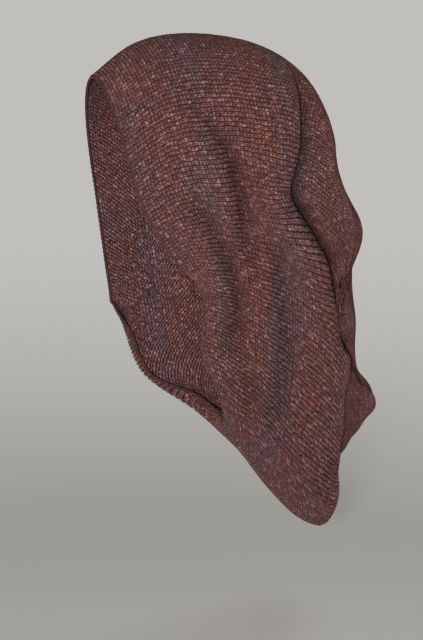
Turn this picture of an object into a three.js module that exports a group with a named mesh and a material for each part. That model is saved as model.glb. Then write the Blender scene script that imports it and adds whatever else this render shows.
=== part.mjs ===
// Slouchy tube hat in machine knitting, worn over long hair.
// One wide tube of cloth: it hangs open round the face and is drawn together at the lower back.
// Millimetres, +Z up. The wearer looks along -Y and the wearer's left side is +X.
// The origin is where the top of the head meets the inside of the crown.

import * as THREE from 'three';

// Cloth
const WALL = 3;
const EDGE_RADIUS = 1.9;
const SEAM_GAP = 0.4;

// The mouth is turned under below the jaw, over this length of cloth and through this angle in radians.
// It is full between two places on the loop, and the cloth there hangs further forward by the slack.
const ROLL_LENGTH = 16;
const ROLL_ANGLE = 2.5;
const ROLL_FROM = 0.56;
const ROLL_FULL = 0.78;
const ROLL_SLACK = 9;
const ROLL_ONSET = 4;
const SLACK_REACH = 0.14;
const SLACK_END = 0.85;

// The rows of stitches start higher up at the mouth than they would by even spacing, as a share of half a
// turn, and are even again this far along the tube.
const STITCH_FALL = 0.08;
const STITCH_FALL_REACH = 0.4;

// Gathers round the drawn end
const PLEATS = 12;
const PLEAT_HEIGHT = 3.4;
const PLEAT_REACH = 62;
const PLEAT_START = 12;
const PLEAT_INSIDE = 0.35;
const DIMPLE_DEPTH = 9;
const DIMPLE_REACH = 20;

// Facets
const COLUMNS_ROUND = 54;
const ROWS_LONG = 50;
const EDGE_SIDES = 6;

// The columns stand closer on the wearer's left, where the folds are.
const CROWDING = 0.12;
const CROWDED_AT = 0.22;
const FOLD_STEPS = 40;

// Colours of the wool, as in daylight
const WOOL_COLOUR = 0x6b4744;
const EDGE_COLOUR = 0x57474a;

// Sections across the tube, from the face to the drawn end. Each is a loop with a round top and a round
// bottom joined by straight flanks, leaning in the plane through its top and bottom points.
//   topY, topZ, lowY, lowZ   top and bottom points on the middle plane
//   topR, lowR               radii of the two round ends
//   bow                      how far the flanks stand forward of the plane
//   notch                    how far the near flank steps back behind the jaw
//   farBow, farDrop          how far the wearer's right flank hangs forward and down
const SECTION_COLUMNS = ['topY', 'topZ', 'lowY', 'lowZ', 'topR', 'lowR', 'bow', 'notch', 'farBow', 'farDrop'];
const SECTIONS = [
  [-81, -29, 17, -294, 70, 56, 16, 18, 32, 24],
  [-46, -4, 17, -305, 77, 58, 12, 12, 28, 18],
  [-4, 3, 24, -317, 80, 58, 4, 6, 20, 10],
  [45, -4, 40, -334, 80, 56, -5, 0, 12, 4],
  [80, -24, 60, -361, 77, 54, -14, 0, 6, 0],
  [96, -53, 82, -385, 72, 52, -14, 0, 0, 0],
  [107, -93, 99, -395, 64, 50, -4, 0, 0, 0],
  [119, -134, 106, -393, 56, 46, 6, 0, 0, 0],
  [126, -178, 109, -386, 48, 42, 9, 0, 0, 0],
  [128, -232, 108, -378, 40, 36, 7, 0, 0, 0],
  [133, -288, 104, -370, 30, 28, 2, 0, 0, 0],
  [112, -322, 103, -351, 9, 9, 0, 0, 0, 0],
];
const NOTCH_TURN = 0.6;
const NOTCH_ABOVE = 0.16;
const NOTCH_BELOW = 0.09;

// Folds, each a smooth path over the cloth through its rows.
//   turn    where on the loop: 0 top, 1 bottom, above 0 on the wearer's left and below 0 on the right
//   run     where along the tube: 0 at the face, 1 at the drawn end
//   depth   how deep the groove is there
//   width   half the width of the groove
//   lip     how far the cloth in front laps back over the groove
const FOLD_COLUMNS = ['turn', 'run', 'depth', 'width', 'lip'];
const FOLDS = {
  back_tuck: [
    [0.08, 0.337, 0, 12, 0],
    [0.16, 0.335, 5, 12, 1],
    [0.24, 0.32, 9, 12, 3],
    [0.32, 0.304, 12, 12, 4],
    [0.39, 0.295, 13, 12, 5],
    [0.43, 0.33, 9, 14, 2],
    [0.44, 0.37, 4, 14, 0],
    [0.45, 0.41, 0, 14, 0],
  ],
  side_groove: [
    [0.21, 0.12, 0, 11, 0],
    [0.27, 0.16, 4, 11, 0],
    [0.33, 0.19, 7, 11, 0],
    [0.4, 0.205, 8, 11, 0],
    [0.48, 0.213, 7, 11, 0],
    [0.55, 0.215, 3, 11, 0],
    [0.6, 0.215, 0, 11, 0],
  ],
  jaw_groove: [
    [0.4, 0.118, 0, 11, 0],
    [0.46, 0.135, 4, 11, 0],
    [0.53, 0.16, 6, 11, 0],
    [0.6, 0.18, 7, 11, 0],
    [0.67, 0.188, 7, 11, 0],
    [0.73, 0.188, 4, 11, 0],
    [0.78, 0.182, 0, 11, 0],
  ],
  low_groove: [
    [0.46, 0.25, 0, 12, 0],
    [0.53, 0.28, 4, 12, 0],
    [0.61, 0.295, 6, 12, 0],
    [0.7, 0.311, 6, 12, 0],
    [0.79, 0.304, 4, 12, 0],
    [0.87, 0.3, 0, 12, 0],
  ],
  hem_groove: [
    [0.72, 0.19, 0, 11, 0],
    [0.78, 0.22, 4, 11, 0],
    [0.85, 0.231, 4, 11, 0],
    [0.91, 0.229, 0, 11, 0],
  ],
  end_crease: [
    [0.72, 0.66, 0, 10, 0],
    [0.76, 0.56, 3, 12, 0],
    [0.8, 0.505, 3, 12, 0],
    [0.86, 0.47, 0, 10, 0],
  ],
  far_tuck: [
    [-0.12, 0.36, 0, 18, 0],
    [-0.26, 0.34, 6, 18, 0],
    [-0.4, 0.35, 8, 18, 0],
    [-0.48, 0.39, 5, 18, 0],
    [-0.54, 0.45, 0, 18, 0],
  ],
  far_groove: [
    [-0.3, 0.12, 0, 18, 0],
    [-0.42, 0.17, 5, 18, 0],
    [-0.54, 0.2, 5, 18, 0],
    [-0.68, 0.24, 0, 18, 0],
  ],
};

// A fold's profile, in half widths from its valley: the ridge in front, as a share of the depth and lower
// where there is no lip, and the lip.
const RIDGE_HEIGHT = 0.4;
const SOFT_RIDGE = 0.5;
const RIDGE_AHEAD = 1.6;
const RIDGE_WIDTH = 1.2;
const LIP_AHEAD = 0.9;
const LIP_WIDTH = 0.9;

// Round swellings and, where the height is below 0, dents of the cloth.
//   turn, run   the place on the cloth
//   height      how far it stands out there
//   width       half the width
const SWELL_COLUMNS = ['turn', 'run', 'height', 'width'];
const SWELLS = {
  crown_dent: [0.2, 0.47, -5, 20],
  nape_swell: [0.19, 0.6, 9, 22],
  nape_dent: [0.2, 0.7, -7, 20],
  knot_swell: [0.18, 0.905, 15, 13],
};

const mix = (a, b, t) => a + (b - a) * t;
const clamp = (x, low, high) => Math.min(Math.max(x, low), high);
const bell = (x) => Math.exp(-x * x);

function smoothStep(low, high, x) {
  const t = clamp((x - low) / (high - low), 0, 1);
  return t * t * (3 - 2 * t);
}

// A curve through the rows of one column, at a place from 0 to 1.
function through(values, place) {
  const last = values.length - 1;
  const i = Math.min(Math.floor(place * last), last - 1);
  const t = place * last - i;
  const b = values[i];
  const c = values[i + 1];
  const a = i > 0 ? values[i - 1] : 2 * b - c;
  const d = i < last - 1 ? values[i + 2] : 2 * c - b;
  const bend = (2 * a - 5 * b + 4 * c - d) * t ** 2;
  const twist = (3 * b - a - 3 * c + d) * t ** 3;
  return 0.5 * (2 * b + (c - a) * t + bend + twist);
}

function sectionAt(run) {
  const section = {};
  SECTION_COLUMNS.forEach((name, k) => {
    section[name] = through(SECTIONS.map((row) => row[k]), run);
  });
  return section;
}

// How far out to the side and how far down its leaning plane a loop is, a share of half a turn from its top.
function loopOutline(section, share) {
  const span = Math.hypot(section.lowY - section.topY, section.lowZ - section.topZ);
  const between = Math.max(span - section.topR - section.lowR, 0.001);
  const lean = Math.asin(clamp((section.topR - section.lowR) / between, -0.95, 0.95));
  const topArc = section.topR * (Math.PI / 2 + lean);
  const flank = between * Math.cos(lean);
  const lowArc = section.lowR * (Math.PI / 2 - lean);
  const s = share * (topArc + flank + lowArc);
  if (s <= topArc) {
    const angle = s / section.topR;
    return { out: section.topR * Math.sin(angle), down: section.topR * (1 - Math.cos(angle)) };
  }
  if (s <= topArc + flank) {
    const t = s - topArc;
    return {
      out: section.topR * Math.cos(lean) - t * Math.sin(lean),
      down: section.topR * (1 + Math.sin(lean)) + t * Math.cos(lean),
    };
  }
  const angle = Math.PI / 2 + lean + (s - topArc - flank) / section.lowR;
  return {
    out: section.lowR * Math.sin(angle),
    down: section.topR + between - section.lowR * Math.cos(angle),
  };
}

// The plain form of the tube, without folds.
function plainPoint(turn, run) {
  const near = turn >= 0;
  const even = Math.abs(turn);
  const fall = STITCH_FALL * Math.sin(Math.PI * even ** 3) ** 2 * (1 - smoothStep(0, STITCH_FALL_REACH, run));
  const share = even - fall;
  const section = sectionAt(run);
  const span = Math.hypot(section.lowY - section.topY, section.lowZ - section.topZ);
  const downY = (section.lowY - section.topY) / span;
  const downZ = (section.lowZ - section.topZ) / span;
  const outline = loopOutline(section, share);
  const notchWidth = share < NOTCH_TURN ? NOTCH_ABOVE : NOTCH_BELOW;
  const slump = Math.sin(Math.PI * share ** 2) ** 2;
  const slack = ROLL_SLACK * smoothStep(ROLL_FROM, ROLL_FULL, share) * (1 - smoothStep(0, SLACK_REACH, run));
  let forward = section.bow * Math.sin(Math.PI * share) ** 2 + slack * (1 - smoothStep(SLACK_END, 1, share));
  let down = outline.down;
  if (near) {
    forward -= section.notch * bell((share - NOTCH_TURN) / notchWidth);
  } else {
    forward += section.farBow * slump;
    down += section.farDrop * slump;
  }
  return new THREE.Vector3(
    near ? outline.out : -outline.out,
    section.topY + down * downY + forward * downZ,
    section.topZ + down * downZ - forward * downY,
  );
}

// Directions on a form: out of the cloth, and along the stitches towards the drawn end.
function directions(form, turn, run) {
  const step = 0.004;
  const along = form(turn, Math.min(run + step, 1)).sub(form(turn, Math.max(run - step, 0))).normalize();
  const round = form(turn + step, run).sub(form(turn - step, run)).normalize();
  return { out: new THREE.Vector3().crossVectors(round, along).normalize(), along };
}

// Each fold as closely spaced places in space with the depth, width and lip there.
function foldPath(rows) {
  const column = (name) => rows.map((row) => row[FOLD_COLUMNS.indexOf(name)]);
  const path = [];
  for (let k = 0; k <= FOLD_STEPS; k += 1) {
    const place = k / FOLD_STEPS;
    const at = (name) => through(column(name), place);
    path.push({
      point: plainPoint(at('turn'), at('run')),
      depth: Math.max(at('depth'), 0),
      width: at('width'),
      lip: Math.max(at('lip'), 0),
      side: Math.sign(rows[1][0]),
    });
  }
  return path;
}
const FOLD_PATHS = Object.values(FOLDS).map(foldPath);
const SWELL_PLACES = Object.values(SWELLS).map((row) => {
  const at = (name) => row[SWELL_COLUMNS.indexOf(name)];
  return { centre: plainPoint(at('turn'), at('run')), height: at('height'), width: at('width') };
});

// The nearest place on a fold, with how far behind it a point lies.
function nearestOnFold(path, point, out) {
  let best = null;
  for (let k = 0; k < path.length - 1; k += 1) {
    const from = path[k];
    const step = new THREE.Vector3().subVectors(path[k + 1].point, from.point);
    const t = clamp(new THREE.Vector3().subVectors(point, from.point).dot(step) / step.lengthSq(), 0, 1);
    const offset = new THREE.Vector3().subVectors(point, from.point).addScaledVector(step, -t);
    const distance = offset.length();
    if (!best || distance < best.distance) {
      const behind = new THREE.Vector3().crossVectors(out, step).normalize().multiplyScalar(from.side);
      best = {
        distance,
        behind,
        place: offset.dot(behind) < 0 ? -distance : distance,
        depth: mix(from.depth, path[k + 1].depth, t),
        width: mix(from.width, path[k + 1].width, t),
        lip: mix(from.lip, path[k + 1].lip, t),
      };
    }
  }
  return best;
}

// The form with its folds and swellings.
function foldedPoint(turn, run) {
  const point = plainPoint(turn, run);
  const { out } = directions(plainPoint, turn, run);
  const moved = point.clone();
  for (const path of FOLD_PATHS) {
    const near = nearestOnFold(path, point, out);
    const s = near.place / near.width;
    const ridge = RIDGE_HEIGHT * (near.lip > 0 ? 1 : SOFT_RIDGE) * bell((s + RIDGE_AHEAD) / RIDGE_WIDTH);
    moved.addScaledVector(out, near.depth * (ridge - bell(s)));
    moved.addScaledVector(near.behind, near.lip * bell((s + LIP_AHEAD) / LIP_WIDTH));
  }
  for (const { centre, height, width } of SWELL_PLACES) {
    moved.addScaledVector(out, height * bell(point.distanceTo(centre) / width));
  }
  return moved;
}

// Where on the loop a column stands: evenly, but for the crowding.
function columnTurn(i) {
  const even = -1 + (2 * i) / COLUMNS_ROUND;
  const crowd = (place) => Math.sin(Math.PI * (place - CROWDED_AT));
  return even - CROWDING * (crowd(even) - crowd(-1));
}

// The cloth's middle form as a grid: folded, with the mouth turned under, and not yet gathered.
// Each point has the direction out of the cloth and the length of cloth left to the drawn end.
function clothGrid() {
  const columns = [];
  for (let i = 0; i < COLUMNS_ROUND; i += 1) {
    const turn = columnTurn(i);
    const points = [];
    for (let j = 0; j <= ROWS_LONG; j += 1) {
      points.push(foldedPoint(turn, j / ROWS_LONG));
    }
    const from = [0];
    for (let j = 1; j <= ROWS_LONG; j += 1) {
      from.push(from[j - 1] + points[j].distanceTo(points[j - 1]));
    }
    const left = from.map((length) => from[ROWS_LONG] - length);
    columns.push({ turn, left, ...rollUnder(turn, points, from) });
  }
  return columns.map(({ turn, points, left, rolled }, i) => {
    const before = columns[(i + COLUMNS_ROUND - 1) % COLUMNS_ROUND].points;
    const after = columns[(i + 1) % COLUMNS_ROUND].points;
    return points.map((point, j) => {
      if (j >= rolled) {
        return { turn, point, left: left[j], out: directions(foldedPoint, turn, j / ROWS_LONG).out };
      }
      const along = points[Math.min(j + 1, ROWS_LONG)].clone().sub(points[Math.max(j - 1, 0)]);
      const round = after[j].clone().sub(before[j]);
      return { turn, point, left: left[j], out: round.cross(along).normalize() };
    });
  });
}

// Below the jaw the mouth curls in towards the neck, from the place where enough cloth is left to it.
// Gives the points and how many rows have curled.
function rollUnder(turn, points, from) {
  const share = smoothStep(ROLL_FROM, ROLL_FULL, Math.abs(turn));
  if (share === 0) {
    return { points, rolled: 0 };
  }
  const next = from.findIndex((length) => length >= ROLL_LENGTH);
  const past = (ROLL_LENGTH - from[next - 1]) / (from[next] - from[next - 1]);
  const run = (next - 1 + past) / ROWS_LONG;
  const hinge = foldedPoint(turn, run);
  const { out, along } = directions(foldedPoint, turn, run);
  const turned = points.map((point, j) => {
    const back = ROLL_LENGTH - from[j];
    if (back <= 0) {
      return point;
    }
    const angle = (ROLL_ANGLE * share * back) / ROLL_LENGTH;
    const rolled = hinge.clone();
    rolled.addScaledVector(along, (-back * Math.sin(angle)) / angle);
    rolled.addScaledVector(out, (-back * (1 - Math.cos(angle))) / angle);
    return point.clone().lerp(rolled, Math.min(1, ROLL_ONSET * share));
  });
  return { points: turned, rolled: next };
}

// How far a place stands off the middle form round the drawn end: the dimple alone, and the pleats' height.
function gather(turn, left) {
  const fading = 1 - smoothStep(PLEAT_START, PLEAT_REACH, left);
  const height = PLEAT_HEIGHT * fading * smoothStep(0, PLEAT_START, left);
  return {
    dimple: -DIMPLE_DEPTH * bell(left / DIMPLE_REACH),
    height,
    wave: height * Math.cos(Math.PI * PLEATS * turn),
  };
}

function outerPoint({ turn, point, left, out }) {
  const { dimple, wave } = gather(turn, left);
  return point.clone().addScaledVector(out, dimple + wave);
}

// Inside, the pleats lie closed against each other and show less.
function innerPoint({ turn, point, left, out }) {
  const { dimple, height, wave } = gather(turn, left);
  const closed = PLEAT_INSIDE * wave - (1 - PLEAT_INSIDE) * height;
  return point.clone().addScaledVector(out, dimple + closed - WALL);
}

// A closed surface from vertices and faces that share them.
function solidFrom(vertices, faces) {
  const geometry = new THREE.BufferGeometry();
  const places = vertices.flatMap((v) => v.toArray());
  geometry.setAttribute('position', new THREE.Float32BufferAttribute(places, 3));
  geometry.setIndex(faces);
  geometry.computeVertexNormals();
  return geometry;
}

// Two triangles for each cell of a band between two rings. A cell is cut from its first corner, or where it
// is crossed from its second.
function band(faces, first, second, crossed) {
  const count = first.length;
  for (let i = 0; i < count; i += 1) {
    const k = (i + 1) % count;
    const [a, b, c, d] = [first[i], first[k], second[k], second[i]];
    if (crossed(i)) {
      faces.push(a, b, d, b, c, d);
    } else {
      faces.push(a, b, c, a, c, d);
    }
  }
}

// Whether the diagonal from the second corner of a cell between two rings is the shorter one.
function secondIsShorter(vertices, first, second, i) {
  const k = (i + 1) % first.length;
  const [a, b, c, d] = [first[i], first[k], second[k], second[i]].map((id) => vertices[id]);
  return b.distanceTo(d) < a.distanceTo(c);
}

function fan(faces, ring, centre, flipped) {
  for (let i = 0; i < ring.length; i += 1) {
    const k = (i + 1) % ring.length;
    faces.push(...(flipped ? [ring[k], ring[i], centre] : [ring[i], ring[k], centre]));
  }
}

function centreOf(points) {
  return points.reduce((sum, p) => sum.add(p), new THREE.Vector3()).divideScalar(points.length);
}

// The bag: an outer and an inner face, joined round the mouth and each closed at the drawn end.
function knitBag(cloth) {
  const vertices = [];
  const faces = [];
  const ring = (points) => points.map((p) => vertices.push(p) - 1);
  const outer = [];
  const inner = [];
  for (let j = 0; j <= ROWS_LONG; j += 1) {
    outer.push(ring(cloth.map((column) => outerPoint(column[j]))));
    inner.push(ring(cloth.map((column) => innerPoint(column[j]))));
  }
  // The inner face is cut along the same diagonals as the outer one, so that the wall stays even.
  for (let j = 0; j < ROWS_LONG; j += 1) {
    const crossed = outer[j].map((id, i) => secondIsShorter(vertices, outer[j], outer[j + 1], i));
    band(faces, outer[j], outer[j + 1], (i) => crossed[i]);
    band(faces, inner[j + 1], inner[j], (i) => !crossed[i]);
  }
  band(faces, inner[0], outer[0], () => false);
  const close = (ids, flipped) => {
    const centre = vertices.push(centreOf(ids.map((k) => vertices[k]))) - 1;
    fan(faces, ids, centre, flipped);
  };
  close(outer[ROWS_LONG], false);
  close(inner[ROWS_LONG], true);
  return solidFrom(vertices, faces);
}

// The bound edge: a bead all round the mouth, lying against the rim of the cloth.
function brimEdging(cloth) {
  const vertices = [];
  const faces = [];
  const apothem = EDGE_RADIUS * Math.cos(Math.PI / EDGE_SIDES);
  const rims = cloth.map((column) => ({ outer: outerPoint(column[0]), inner: innerPoint(column[0]) }));
  const middles = rims.map(({ outer, inner }) => outer.clone().lerp(inner, 0.5));
  const sections = rims.map(({ outer, inner }, i) => {
    const before = middles[(i + middles.length - 1) % middles.length];
    const after = middles[(i + 1) % middles.length];
    const out = outer.clone().sub(inner).normalize();
    const away = after.clone().sub(before).cross(out).normalize();
    const centre = middles[i].clone().addScaledVector(away, apothem + SEAM_GAP);
    const section = [];
    for (let k = 0; k < EDGE_SIDES; k += 1) {
      const angle = ((k + 0.5) * 2 * Math.PI) / EDGE_SIDES;
      const point = centre.clone();
      point.addScaledVector(away, EDGE_RADIUS * Math.cos(angle));
      point.addScaledVector(out, EDGE_RADIUS * Math.sin(angle));
      section.push(vertices.push(point) - 1);
    }
    return section;
  });
  // The bead's cells are cut as the rim's are, so that the gap between them stays even.
  for (let k = 0; k < EDGE_SIDES; k += 1) {
    const other = (k + 1) % EDGE_SIDES;
    band(faces, sections.map((ids) => ids[k]), sections.map((ids) => ids[other]), () => true);
  }
  return solidFrom(vertices, faces);
}

const wool = new THREE.MeshStandardMaterial({ color: WOOL_COLOUR, roughness: 0.95, metalness: 0 });
const edgeWool = new THREE.MeshStandardMaterial({ color: EDGE_COLOUR, roughness: 0.95, metalness: 0 });

function named(name, geometry, material) {
  const mesh = new THREE.Mesh(geometry, material);
  mesh.name = name;
  return mesh;
}

const cloth = clothGrid();
const hat = new THREE.Group();
hat.name = 'dreadlock_hat';
hat.add(named('knit_bag', knitBag(cloth), wool));
hat.add(named('brim_edging', brimEdging(cloth), edgeWool));

export default hat;
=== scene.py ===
import math

import bpy
import numpy as np
from bpy.props import (
    FloatProperty,
    FloatVectorProperty,
    IntProperty,
    PointerProperty,
)
from mathutils import Matrix, Vector


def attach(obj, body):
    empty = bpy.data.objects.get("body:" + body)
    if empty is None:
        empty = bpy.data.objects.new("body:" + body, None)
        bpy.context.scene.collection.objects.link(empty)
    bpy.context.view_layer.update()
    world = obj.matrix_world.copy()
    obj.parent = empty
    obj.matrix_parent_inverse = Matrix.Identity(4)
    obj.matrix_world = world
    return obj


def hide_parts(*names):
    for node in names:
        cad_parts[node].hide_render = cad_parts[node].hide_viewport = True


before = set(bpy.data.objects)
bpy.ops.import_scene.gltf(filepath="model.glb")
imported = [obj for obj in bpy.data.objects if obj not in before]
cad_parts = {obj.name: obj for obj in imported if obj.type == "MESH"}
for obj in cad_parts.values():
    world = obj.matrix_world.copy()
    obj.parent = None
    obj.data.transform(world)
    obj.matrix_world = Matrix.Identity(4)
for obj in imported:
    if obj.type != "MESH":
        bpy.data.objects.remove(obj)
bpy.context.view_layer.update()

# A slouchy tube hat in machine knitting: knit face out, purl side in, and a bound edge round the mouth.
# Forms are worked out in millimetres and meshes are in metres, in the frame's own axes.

bl_info = {
    "name": "Slouchy knit hat",
    "version": (1, 0, 0),
    "blender": (4, 5, 0),
    "location": "View3D > Sidebar > Knit Hat",
    "description": "Knits a slouchy tube hat over its packed solids",
    "category": "Object",
}

MM = 0.001

# Measures of the cloth, in millimetres
WALL = 3.0
ROLL_LENGTH = 16.0
ROLL_ANGLE = 2.5
ROLL_FROM, ROLL_FULL = 0.56, 0.78
ROLL_SLACK = 9.0
SLACK_END, SLACK_FADES = 0.14, 0.85
STITCH_FALL, FALL_END = 0.08, 0.4
STEEPEST_LEAN = 0.95
PLEATS = 12
PLEAT_HEIGHT = 2.8
PLEAT_REACH = 50.0
PLEAT_START = 12.0
PLEAT_INSIDE = 0.35
CALM_TURN, CALM_WIDTH, CALM_SHARE = 0.42, 0.17, 0.75
DIMPLE_DEPTH = 9.0
DIMPLE_REACH = 20.0
NOTCH_TURN, NOTCH_ABOVE, NOTCH_BELOW = 0.6, 0.16, 0.09

# Sections across the tube, from the face to the drawn end.
SECTION_COLUMNS = ("topY", "topZ", "lowY", "lowZ", "topR", "lowR", "bow", "notch", "farBow", "farDrop")
SECTIONS = (
    (-81, -29, 17, -294, 70, 56, 16, 18, 32, 24),
    (-46, -4, 17, -305, 77, 58, 12, 12, 28, 18),
    (-4, 3, 24, -317, 80, 58, 4, 6, 20, 10),
    (45, -4, 40, -334, 80, 56, -5, 0, 12, 4),
    (80, -24, 60, -361, 77, 54, -14, 0, 6, 0),
    (96, -53, 82, -385, 72, 52, -14, 0, 0, 0),
    (107, -93, 99, -395, 64, 50, -4, 0, 0, 0),
    (119, -134, 106, -393, 56, 46, 6, 0, 0, 0),
    (126, -178, 109, -386, 48, 42, 9, 0, 0, 0),
    (128, -232, 108, -378, 40, 36, 7, 0, 0, 0),
    (133, -288, 104, -370, 30, 28, 2, 0, 0, 0),
    (112, -322, 103, -351, 9, 9, 0, 0, 0, 0),
)

# Folds, each a path over the cloth: turn round the loop, run along the tube, depth, half width and lip.
FOLD_COLUMNS = ("turn", "run", "depth", "width", "lip")
FOLDS = {
    "back_tuck": (
        (0.08, 0.337, 0, 9, 0),
        (0.15, 0.33, 8, 9, 3),
        (0.22, 0.315, 16, 9, 7),
        (0.3, 0.3, 22, 9, 10),
        (0.37, 0.285, 25, 9, 11),
        (0.4, 0.291, 25, 9, 10),
        (0.422, 0.316, 25, 9, 9),
        (0.441, 0.341, 24, 9, 9),
        (0.462, 0.378, 23, 9, 8),
        (0.488, 0.4, 21, 9, 7),
        (0.512, 0.43, 18, 9, 6),
        (0.53, 0.47, 12, 9, 3),
        (0.54, 0.52, 0, 9, 0),
    ),
    "nape_tuck": (
        (0.47, 0.56, 0, 9, 0),
        (0.43, 0.63, 5, 9, 3),
        (0.36, 0.73, 10, 9, 6),
        (0.28, 0.81, 11, 9, 7),
        (0.21, 0.86, 8, 8, 5),
        (0.15, 0.9, 0, 8, 0),
    ),
    "side_groove": (
        (0.21, 0.12, 0, 8, 0),
        (0.265, 0.158, 5, 8, 0),
        (0.31, 0.183, 8, 8, 1),
        (0.367, 0.199, 10, 8, 2),
        (0.426, 0.208, 10, 8, 2),
        (0.484, 0.213, 9, 8, 1),
        (0.54, 0.214, 5, 9, 0),
        (0.6, 0.215, 0, 9, 0),
    ),
    "jaw_groove": (
        (0.4, 0.118, 0, 8, 0),
        (0.44, 0.123, 4, 8, 0),
        (0.49, 0.149, 7, 8, 0),
        (0.55, 0.165, 8, 8, 1),
        (0.61, 0.181, 9, 8, 2),
        (0.66, 0.188, 9, 8, 2),
        (0.72, 0.189, 7, 9, 0),
        (0.78, 0.182, 0, 9, 0),
    ),
    "low_groove": (
        (0.46, 0.25, 0, 9, 0),
        (0.516, 0.275, 5, 9, 0),
        (0.57, 0.287, 7, 9, 0),
        (0.637, 0.301, 7, 9, 0),
        (0.715, 0.311, 7, 10, 0),
        (0.797, 0.303, 6, 10, 0),
        (0.87, 0.3, 0, 10, 0),
    ),
    "hem_groove": (
        (0.72, 0.19, 0, 8, 0),
        (0.781, 0.221, 4, 9, 0),
        (0.844, 0.231, 5, 9, 0),
        (0.91, 0.229, 0, 9, 0),
    ),
    "end_crease": (
        (0.72, 0.66, 0, 8, 0),
        (0.76, 0.56, 6, 7, 1),
        (0.8, 0.505, 6, 7, 1),
        (0.86, 0.47, 0, 8, 0),
    ),
    "far_tuck": (
        (-0.12, 0.36, 0, 15, 0),
        (-0.26, 0.34, 7, 15, 1),
        (-0.4, 0.35, 9, 15, 2),
        (-0.48, 0.39, 6, 16, 1),
        (-0.54, 0.45, 0, 16, 0),
    ),
    "far_groove": (
        (-0.3, 0.12, 0, 12, 0),
        (-0.42, 0.17, 5, 13, 0),
        (-0.54, 0.2, 6, 13, 0),
        (-0.68, 0.24, 0, 13, 0),
    ),
}
FOLD_STEPS = 40

# Beside a fold, in its half widths: where the cloth rises, by what share of the depth, and where it leans
RISE_PLACE, RISE_WIDTH, RISE_SHARE = 1.6, 1.2, 0.4
LIPLESS_SHARE = 0.5
LIP_PLACE, LIP_WIDTH = 0.9, 0.9

# The depth of a tuck that is painted fully in shade, and how far up its sides the painted shade goes, in half
# widths
DEEP_TUCK = 22.0
TUCK_SPREAD = 0.8

# Round swellings and, below 0, dents of the cloth: place, height, half width and how flat their top is.
SWELL_COLUMNS = ("turn", "run", "height", "width", "roundness")
SWELLS = {
    "crown_dent": (0.2, 0.47, -5, 20, 2.0),
    "nape_swell": (0.19, 0.6, 8, 22, 2.0),
    "nape_dent": (0.2, 0.7, -7, 20, 2.0),
    "flank_swell": (0.38, 0.87, 7, 19, 2.0),
    "knot_swell": (0.16, 0.895, 12, 16, 3.2),
}

# The colour bands of the yarn, from the face to the drawn end: run along the tube, and how plum it is.
BANDS = (
    (0.0, 0.55),
    (0.05, 0.35),
    (0.09, 0.15),
    (0.12, 0.5),
    (0.15, 0.85),
    (0.18, 0.35),
    (0.21, 0.05),
    (0.245, 0.15),
    (0.275, 0.75),
    (0.305, 0.9),
    (0.33, 0.45),
    (0.36, 0.1),
    (0.41, 0.2),
    (0.45, 0.5),
    (0.49, 0.75),
    (0.53, 0.35),
    (0.58, 0.1),
    (0.64, 0.25),
    (0.69, 0.75),
    (0.74, 0.5),
    (0.8, 0.1),
    (0.87, 0.3),
    (0.93, 0.65),
    (1.0, 0.4),
)

# Fineness of the smooth form that the stitches are knitted on
FORM_COLUMNS = 384
FORM_ROWS = 216
FORM_OVERLAP = 3
END_ROWS, END_AXIS_ROWS = 8, 12
END_DEPTH = 5.0

# The stitch map of the form: courses that it has room for, its margin, and the first course that is laid
FORM_COURSES = 200.0
MAP_MARGIN = 1.04
START_COURSE = 0.02

# How far the wales of the two sides climb round the tube on their way back, and where along it they do
WALE_CLIMB = 0.17
CLIMB_FROM, CLIMB_FULL = 0.08, 0.85

# Shape of the stitches, as shares of their height, and the width in millimetres below which a wale flattens
LEG_FOOT = 0.25
STITCH_SINK = 0.55
JITTER_SCALE, JITTER_HEIGHT = 0.45, 0.3
FULL_WALE = 2.6

# Pieces of the cloth, and the course where the front piece of the inside ends
FACE_STRIPS = (
    "knit_right_low",
    "knit_right_side",
    "knit_right_crown",
    "knit_left_crown",
    "knit_left_side",
    "knit_left_low",
)
PURL_FRONT = 96

# The bound edge, in millimetres
EDGE_OFFSET, EDGE_CORE, EDGE_SIDES = 0.6, 0.9, 8
EDGE_LEAN, EDGE_RISE = 0.5, 0.5
LINK_LONG, LINK_WIDE, LINK_CLIMB, LINK_TAPER = 4.4, 1.8, 0.4, 0.35
LINK_STEPS, LINK_SIDES, YARN_RADIUS = 12, 5, 0.5

# How strongly the yarn varies over its bands, and how fine its pools and fibres are
STREAKS, POOLS, FLECKS = 2.4, 1.6, 4.0
GREY_FROM, WARM_FROM = 0.5, 0.55
POOL_SCALE, FIBRE_SCALE = 22.0, 1800.0

# Light and shade painted on the stitches: painted shade in the valleys, between the strands and in the tucks,
# and the random tone of dull and bright legs
VALLEY_LIGHT, GAP_LIGHT = 0.22, 0.25
DULL_LEG, OWN_SHADE, TONE_SHADE = 0.3, 0.5, 1.6
BRIGHT_FROM, BRIGHT_LEG = 0.86, 0.8
TUCK_PAINTED_SHADE = 0.85
WOOL_LIGHT = 2.4

# Lights of the studio: directions in degrees, distance and size in metres
LIGHTS = {
    "key": (71.0, 5.0, 1.5, 0.15),
    "fill": (42.0, 12.0, 2.2, 1.2),
    "back": (235.0, 35.0, 2.2, 1.2),
}
LIGHT_TARGET = (0.0, 0.02, -0.19)
FLOOR_REACH, FLOOR_START, FLOOR_END = 6.0, 0.3, 3.0
CEILING_START, CEILING_RISE = 0.15, 2.9

# Directions of the camera, in degrees, and its place
CAMERA_AZIMUTH, CAMERA_ELEVATION = 75.0, 8.0
CAMERA_DISTANCE = 1.4
CAMERA_RIGHT, CAMERA_UP = 0.01287, -0.22035
CAMERA_LENS, CAMERA_SENSOR = 100.96, 36.0


# The smooth form of the cloth

def bell(x):
    return np.exp(-x * x)


def smooth_step(low, high, x):
    t = np.clip((x - low) / (high - low), 0.0, 1.0)
    return t * t * (3.0 - 2.0 * t)


def dot(a, b):
    return np.sum(a * b, axis=-1)


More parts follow.
